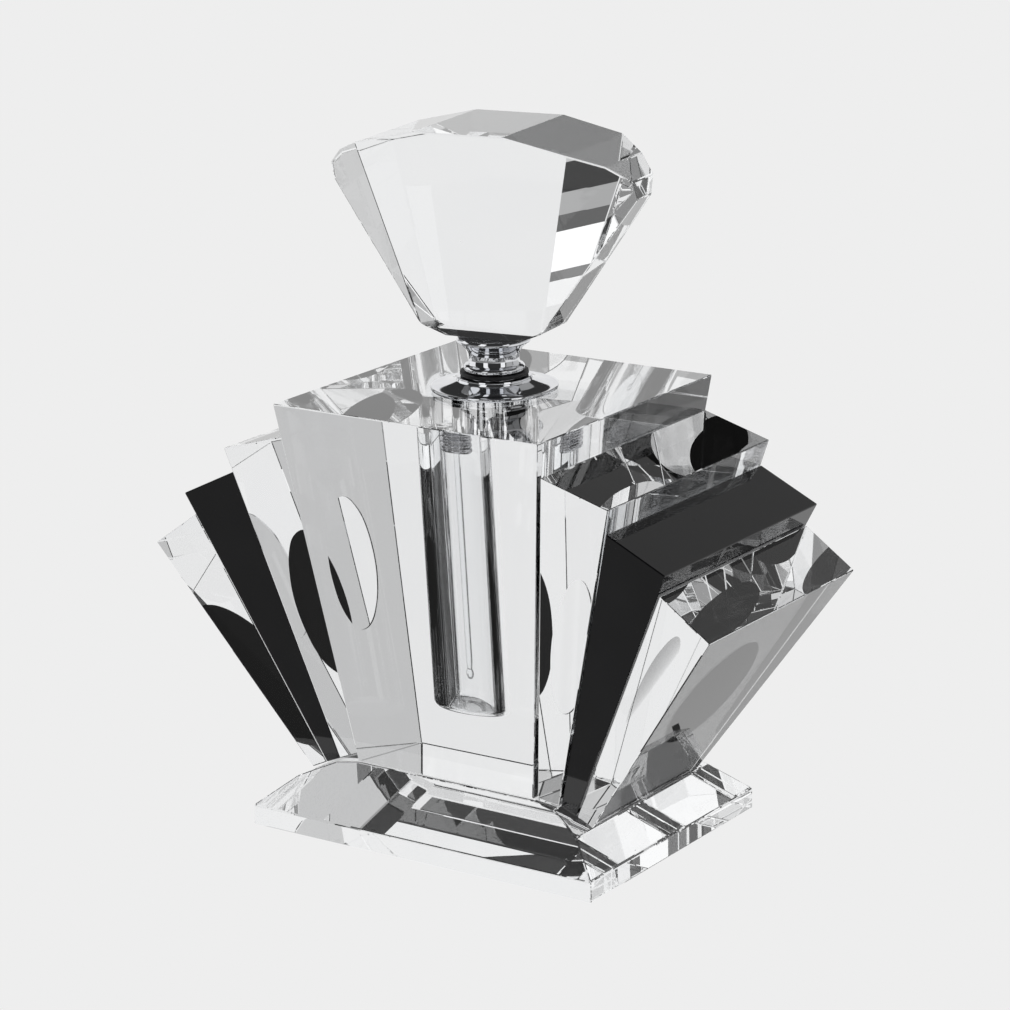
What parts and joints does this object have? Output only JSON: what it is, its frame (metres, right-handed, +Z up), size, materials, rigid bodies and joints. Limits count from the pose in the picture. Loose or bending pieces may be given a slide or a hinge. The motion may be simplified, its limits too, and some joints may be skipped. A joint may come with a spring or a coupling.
{
  "type": "perfume dabber bottle",
  "caption": "Fan-shaped cut crystal perfume bottle on a hipped plinth, clear and black side fins, chrome collar, and a faceted screw stopper carrying a glass dabber rod.",
  "frame": {"origin": "centre of the plinth's underside, on the axis of the neck and dabber", "axes": "+Z up the neck axis, +X to the bottle's right along the fan, -Y out of the broad front face"},
  "size_m": [0.1446, 0.0692, 0.1571],
  "materials": {
    "plinth_crystal": "polished clear lead-free crystal",
    "block_crystal": "polished clear lead-free crystal",
    "fin_crystal": "polished clear lead-free crystal",
    "stopper_crystal": "polished clear lead-free crystal",
    "rod_glass": "fire-polished clear glass rod",
    "black_crystal": "opaque black crystal, polished",
    "collar_chrome": "bright chrome plate on turned brass",
    "ferrule_chrome": "bright chrome plate on turned brass",
    "socket_metal": "chrome plate, ridged",
    "plug_metal": "chrome plate, ridged",
    "gasket": "soft black sealing rubber",
    "sleeve_poly": "natural white polyethylene"
  },
  "bodies": {
    "bottle": {"base_plinth": "plinth_crystal", "bottle_block": "block_crystal", "fin_clear_inner_left": "fin_crystal", "fin_clear_inner_right": "fin_crystal", "fin_black_left": "black_crystal", "fin_black_right": "black_crystal", "fin_clear_outer_left": "fin_crystal", "fin_clear_outer_right": "fin_crystal", "collar_disc": "collar_chrome", "neck_socket": "socket_metal"},
    "washer": {"sealing_washer": "gasket"},
    "stopper": {"stopper_ferrule": "ferrule_chrome", "screw_plug": "plug_metal", "dabber_sleeve": "sleeve_poly", "dabber_rod": "rod_glass", "crystal_stopper": "stopper_crystal"}
  },
  "joints": [
    {"name": "stopper_lift", "type": "slide", "parent": "bottle", "child": "washer", "axis": [0, 0, 1], "range_m": [0, 0.075]},
    {"name": "stopper_turn", "type": "hinge", "parent": "washer", "child": "stopper", "pos_m": [0, 0, 0.1025], "axis": [0, 0, 1], "range_deg": [0, 900]}
  ]
}
